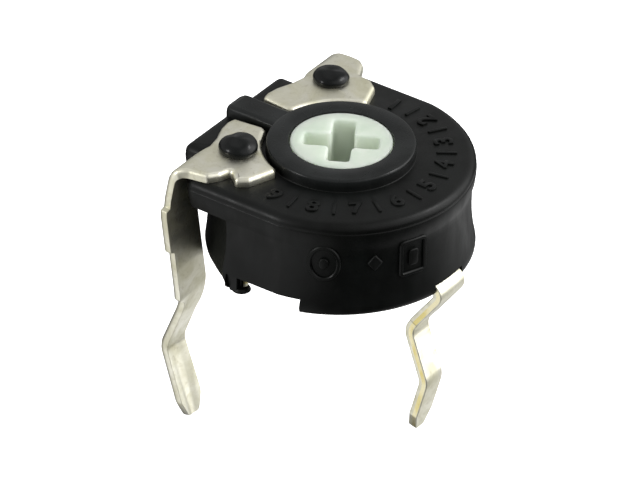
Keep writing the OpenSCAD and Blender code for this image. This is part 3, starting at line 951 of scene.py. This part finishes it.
def endTerminal(name, plate):
    g = leg
    flat = plateSolid(patternOf(plate), 0, metalT, g["edge"], under=g["under"])
    blank = meshObject(name, flat, metalFinishes)
    holeX, holeY = headSpot(posts["heads"]["left" if plate["side"] < 0 else "right"])
    r = posts["headHole"]
    hole = lathe([(r, -1), (r, 1)], (holeX * plate["side"], holeY), 24)
    carve(blank, meshObject("hole", hole), "DIFFERENCE")
    bm = bmesh.new()
    bm.from_mesh(blank.data)
    drop = g["bendY"]
    knee = drop + endLine.lengthAt(g["kneeZ"])
    addCuts(bm, 1, [drop + s for s in endLine.lengths[1:-1]] + [knee + 0.06, knee + 0.14, knee + 0.8])
    addCuts(bm, 0, [g["x"] - g["pin"] * 0.25, g["x"], g["x"] + g["pin"] * 0.25], beyond=knee - 0.8)
    addCuts(bm, 0, [g["twistFrom"], 3.1, 3.3, 3.5, g["x"] - g["wide"] / 2 + 0.005])
    for v in bm.verts:
        x, y, z = v.co
        out = z - metalT / 2
        if y > drop:
            s = y - drop
            half = g["pin"] / 2
            across = max(0.0, 1 - abs(x - g["x"]) / half)
            press = g["groove"] * across * smoothStep(y, knee - 0.02, knee + 0.14)
            bent = endLine.at(s, out + press)
            amount = smoothStep(x, g["twistFrom"], g["x"] - g["wide"] / 2)
            flat = Vector((y, topZ + z))
            spot = flat.lerp(bent, amount)
            v.co = Vector((x, spot.x, max(spot.y, tipZ)))
        else:
            v.co.z = topZ + z
        v.co.x *= plate["side"]
    bmesh.ops.recalc_face_normals(bm, faces=bm.faces)
    bm.to_mesh(blank.data)
    bm.free()
    near, half, low = tongue["inner"], tongue["half"], tongue["low"]
    strip = blockTool(near, near + metalT, -half, half, low, topZ + metalT - 0.08, 0.05)
    footing = blockTool(near + 0.01, 4.05, 0.01 - half, half - 0.01, low - 0.01, 2.35, 0.05)
    for bm in (strip, footing):
        bm.transform(Matrix.Rotation(math.radians(90 - plate["side"] * tongue["turn"]), 4, "Z"))
    carve(blank, meshObject("tongue", strip), "UNION")
    carve(blank, meshObject("footing", footing), "UNION")
    tidyMesh(blank)
    return blank


print("stamping and bending the terminals")
for name, plate in plates.items():
    piece = endTerminal("end_terminal_" + name + "_sheet", plate)
    newPiece(piece, "root", metalFinishes, "tinned_brass", "end_terminal_" + name, sharp=50)

foot = dict(wide=1.62, pin=1.08, tip=0.5, tipLong=0.8, shoulder=-1.75, plateR=3.75, holeR=1.85,
            earX=4.72, earY=1.2, earR=0.24, neck=0.16, edge=0.04, torn=(0.42, 0.88), start=-3.85, low=0.06,
            kinkZ=-4.5)
footLine = Bend([(foot["start"], 0.25), (-5.45, 0.25), (-3.62, -2.3), (-4.43, foot["kinkZ"]), (-3.79, tipZ)],
                [0.36, 0.7, 0.8])


def collectorPattern(f):
    # the blank, seen from above, with its leg straight out towards the front
    def at(z):
        return f["start"] - footLine.lengthAt(z)

    r, w, p, t = f["plateR"], f["wide"] / 2, f["pin"] / 2, f["tip"] / 2
    end = f["start"] - footLine.lengths[-1]
    s = f["shoulder"]
    low, high = f["earY"] - f["neck"], f["earY"] + f["neck"]
    lowA = math.degrees(math.asin(low / r))
    highA = math.degrees(math.asin(high / r))
    legA = math.degrees(math.acos(w / r))
    cut = math.degrees(math.asin(f["neck"] / f["earR"]))
    ear = arcPoints(f["earR"], -180 + cut + 6, 180 - cut - 6, 14, (f["earX"], f["earY"]))
    right = [(t, end, 0.2), (p, end + f["tipLong"], 0.3), (p, at(s - 0.15), 0.1), (w, at(s + 0.05), 0.12),
             (w, -math.sqrt(r * r - w * w), 0.1)]
    right += [(*q,) for q in arcPoints(r, -legA + 3, lowA - 3, 20)]
    right += [(math.sqrt(r * r - low * low), low, 0.1)] + [(*q,) for q in ear]
    right += [(math.sqrt(r * r - high * high), high, 0.1)]
    right += [(*q,) for q in arcPoints(r, highA + 3, 88, 16)]
    left = [(-c[0], *c[1:]) for c in right[::-1]]
    return roundedLoop(right + left)


def collectorSheet(f):
    flat = plateSolid(collectorPattern(f), 0, metalT, f["edge"], torn=f["torn"])
    blank = meshObject("collector_sheet", flat, metalFinishes)
    holes = [lathe([(f["holeR"], -1), (f["holeR"], 1)], (0, 0), 64)]
    r = posts["pegHole"]
    holes += [lathe([(r, -1), (r, 1)], (side * posts["pegX"], posts["pegY"]), 20) for side in (-1, 1)]
    carve(blank, merged("holes", holes), "DIFFERENCE")
    bm = bmesh.new()
    bm.from_mesh(blank.data)
    kink = f["start"] - footLine.lengthAt(f["kinkZ"])
    addCuts(bm, 1, [f["start"] - s for s in footLine.lengths[1:-1]] + [kink - 0.4, kink - 0.9])
    for v in bm.verts:
        x, y, z = v.co
        if y < f["start"]:
            spot = footLine.at(f["start"] - y, metalT / 2 - z)
            v.co = Vector((x, spot.x, max(spot.y, tipZ)))
        else:
            v.co.z = f["low"] + z
    bmesh.ops.recalc_face_normals(bm, faces=bm.faces)
    bm.to_mesh(blank.data)
    bm.free()
    tidyMesh(blank)
    return blank


newPiece(collectorSheet(foot), "root", metalFinishes, "tinned_brass", "collector_terminal", sharp=50)


rotor = dict(faceR=1.97, hubR=2.15, flangeR=2.5, lugR=3.15, lugHalf=stops["lugHalf"], journalR=1.8,
             flangeZ=1.26, flangeTop=1.86, hubZ=2.86, slotW=0.88, slotL=2.92, slotRound=0.16,
             edge=0.09, slotEdge=0.09)


def crossLoop(r):
    w, l, c = r["slotW"] / 2, r["slotL"] / 2, r["slotRound"]
    corners = []
    for turn in range(4):
        spin = Matrix.Rotation(math.radians(90 * turn), 2)
        for x, y in ((w, -w), (l, -w), (l, w)):
            p = spin @ Vector((x, y))
            corners.append((p.x, p.y, c))
    return roundedLoop(corners)


def rotorMesh(r):
    cross = crossLoop(r)
    half = r["lugHalf"]
    lug = arcPoints(r["lugR"], -half, half, 12) + arcPoints(r["flangeR"], half + 0.6, 360 - half - 0.6, 80)
    angles = sharedAngles([cross, lug], 0.3, 4.0)
    cross, lug = polarLoop(cross, angles), polarLoop(lug, angles)

    def circleAt(radius, z):
        return [Vector((*onCircle(radius, a), z)) for a in angles]

    rings = [ringAt(cross, 0.0, 0.05), ringAt(cross, 0.06)]
    edge = r["slotEdge"]
    for i in range(4):
        a = math.pi / 2 * i / 3
        rings.append(ringAt(cross, faceZ - edge * (1 - math.sin(a)), edge * (1 - math.cos(a))))
    edge = r["edge"]
    for i in range(4):
        a = math.pi / 2 * i / 3
        rings.append(circleAt(r["faceR"] - edge * (1 - math.sin(a)), faceZ - edge * (1 - math.cos(a))))
    hub, journal, top, under = r["hubR"], r["journalR"], r["flangeTop"], r["flangeZ"]
    rings += [circleAt(r["faceR"], r["hubZ"]), circleAt(hub, r["hubZ"]), circleAt(hub, top)]
    rings += [ringAt(lug, top), ringAt(lug, under)]
    rings += [circleAt(journal, under), circleAt(journal, 0.05), circleAt(journal - 0.05, 0.0)]
    bm = loftMesh(rings, closed=True)
    bm.transform(Matrix.Rotation(math.radians(rotorTurn), 4, "Z"))
    return bm


print("moulding the rotor")
rotorPiece = meshObject("rotor_moulding", rotorMesh(rotor))
newPiece(rotorPiece, "rotor", [rotorFinish], "rotor_white", "rotor", sharp=40)


inside = dict(element_board=laminateBrown, carbon_track=carbonInk, end_pads=silverInk, wiper=springBrass)
for node, finish in inside.items():
    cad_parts[node].material_slots[0].material = finish()


stageLook = dict(
    floor=(250, 250, 250),
    glow=1.0,
    above=0.44,                      # brightness of the room over and under the floor's level
    below=0.02,
    pools=dict(                      # brighter parts of the room: direction, half width in degrees, strength
        backdrop=((35, 6), 32, 0.12),
        frontRight=((-85, 35), 45, 0.96),
        right=((-25, 35), 45, 0.38),
        behindLeft=((125, 35), 55, 0.34),
        lowRight=((-47, 13), 36, 2.6),
        lowBehind=((-22, -54), 43, 0.92),
        lowLeft=((160, -36), 46, 0.95),
        over=((34, 64), 26, 0.35),
        left=((125, -15), 45, 0.2)),
    boxes=dict(                      # place, size and power of each soft light
        key=((103, -132, 147), 60, 0.13),
        rear=((-165, 100, 72), 60, 0.12)))


def floorPlane(look):
    bm = bmesh.new()
    bmesh.ops.create_grid(bm, x_segments=8, y_segments=8, size=400)
    floor = meshObject("floor", bm)
    floor.data.transform(Matrix.Translation((0, 0, tipZ - 0.002)))
    floor.data.transform(Matrix.Scale(mm, 4))
    f = Finish("pale_floor", Roughness=0.9, Specular_IOR_Level=0.1)
    cloud = f.grain(60, 2)
    f.use("Base Color", f.blend(f.between(cloud, 0, 1), linear(*look["floor"]), linear(246, 246, 246)))
    f.shader.inputs["Emission Color"].default_value = (1, 1, 1, 1)
    f.shader.inputs["Emission Strength"].default_value = look["glow"]
    floor.data.materials.append(f.material)
    floor.visible_glossy = False     # the room below the horizon is what it lights and mirrors with
    floor.visible_diffuse = False
    floor.visible_shadow = False


def roomLight(look):
    # an even room, with pools of light in some directions
    world = bpy.data.worlds.new("room")
    bpy.context.scene.world = world
    world.use_nodes = True
    nodes, links = world.node_tree.nodes, world.node_tree.links
    place = nodes.new("ShaderNodeTexCoord").outputs["Generated"]

    def ramp(source, start, end, low, high):
        node = nodes.new("ShaderNodeMapRange")
        node.interpolation_type = "SMOOTHSTEP"
        for socket, value in zip(("From Min", "From Max", "To Min", "To Max"), (start, end, low, high)):
            node.inputs[socket].default_value = value
        links.new(source, node.inputs["Value"])
        return node.outputs["Result"]

    split = nodes.new("ShaderNodeSeparateXYZ")
    links.new(place, split.inputs[0])
    total = ramp(split.outputs["Z"], -0.12, 0.12, look["below"], look["above"])
    for (azimuth, height), width, strength in look["pools"].values():
        a, e = math.radians(azimuth), math.radians(height)
        dot = nodes.new("ShaderNodeVectorMath")
        dot.operation = "DOT_PRODUCT"
        dot.inputs[1].default_value = (math.cos(a) * math.cos(e), math.sin(a) * math.cos(e), math.sin(e))
        links.new(place, dot.inputs[0])
        add = nodes.new("ShaderNodeMath")
        add.operation = "ADD"
        pool = ramp(dot.outputs["Value"], math.cos(math.radians(width)), 1.0, 0.0, strength)
        links.new(total, add.inputs[0])
        links.new(pool, add.inputs[1])
        total = add.outputs[0]
    nodes["Background"].inputs["Color"].default_value = (1, 1, 1, 1)
    links.new(total, nodes["Background"].inputs["Strength"])


def softBox(name, place, target, size, power):
    lamp = bpy.data.lights.new(name, "AREA")
    lamp.shape = "DISK"
    lamp.size = size * mm
    lamp.energy = power
    box = bpy.data.objects.new(name, lamp)
    bpy.context.scene.collection.objects.link(box)
    way = (Vector(target) - Vector(place)).to_track_quat("-Z", "Y")
    box.matrix_world = Matrix.Translation(Vector(place) * mm) @ way.to_matrix().to_4x4()


camera = dict(azimuth=-55.43, elevation=33.3, roll=1.2, distance=262, lens=383.8, target=(-0.37, 0.64, 0.02))


def addCamera(c):
    a, e, r = (math.radians(c[k]) for k in ("azimuth", "elevation", "roll"))
    back = Vector((math.sin(a) * math.cos(e), -math.cos(a) * math.cos(e), math.sin(e)))
    right = (-back).cross(Vector((0, 0, 1))).normalized()
    up = right.cross(-back)
    right, up = right * math.cos(r) + up * math.sin(r), up * math.cos(r) - right * math.sin(r)
    lens = bpy.data.cameras.new("camera")
    lens.lens = c["lens"]
    lens.sensor_width = 36
    lens.clip_start = 0.01
    lens.clip_end = 20
    eye = bpy.data.objects.new("camera", lens)
    bpy.context.scene.collection.objects.link(eye)
    spot = (Vector(c["target"]) + back * c["distance"]) * mm
    eye.matrix_world = Matrix.Translation(spot) @ Matrix((right, up, back)).transposed().to_4x4()
    bpy.context.scene.camera = eye


print("setting up floor, light and camera")
floorPlane(stageLook)
roomLight(stageLook)
for name, (place, size, power) in stageLook["boxes"].items():
    softBox(name, place, (0, 0, 0), size, power)
addCamera(camera)
bpy.context.scene.view_settings.view_transform = "Standard"
